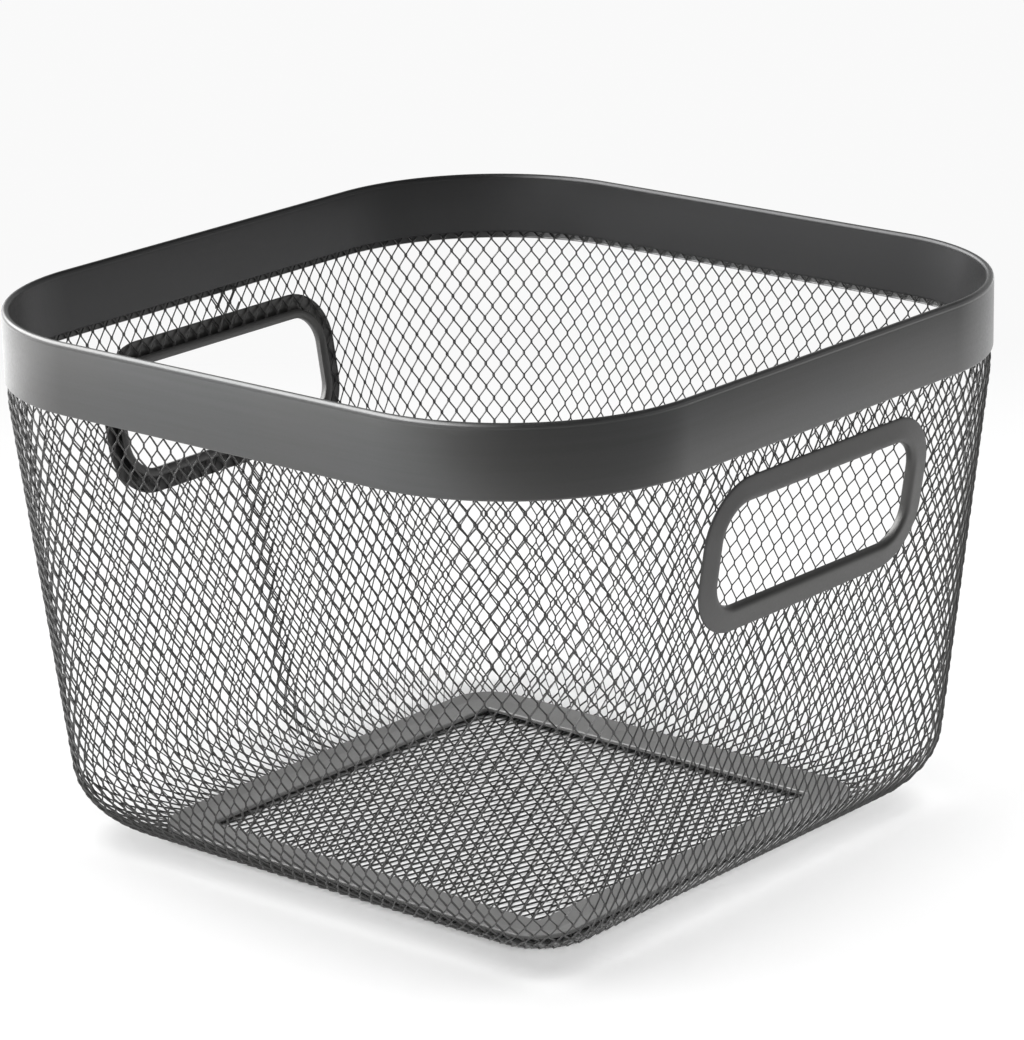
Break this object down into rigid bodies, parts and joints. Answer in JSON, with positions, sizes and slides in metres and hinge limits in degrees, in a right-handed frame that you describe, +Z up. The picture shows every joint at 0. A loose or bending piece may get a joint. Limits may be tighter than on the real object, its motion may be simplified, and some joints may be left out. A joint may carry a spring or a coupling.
{
  "type": "wire mesh storage basket",
  "caption": "Nearly square tapered basket of expanded steel mesh with a folded rim band, rounded corners and hand holes in facing walls.",
  "frame": {"origin": "under the middle of the base, at the level of the floor", "axes": "+Z up out of the open top; X runs through the two hand holes; Y runs through the two plain walls"},
  "size_m": [0.2504, 0.257, 0.175],
  "materials": {
    "rim": "satin grey powder coat",
    "mesh": "satin dark grey powder coat",
    "base": "satin grey powder coat"
  },
  "bodies": {
    "root": {"rim_band": "rim", "wall_mesh": "mesh", "hand_ring_right": "rim", "hand_ring_left": "rim", "base_mesh": "mesh", "base_frame": "base"}
  },
  "joints": []
}
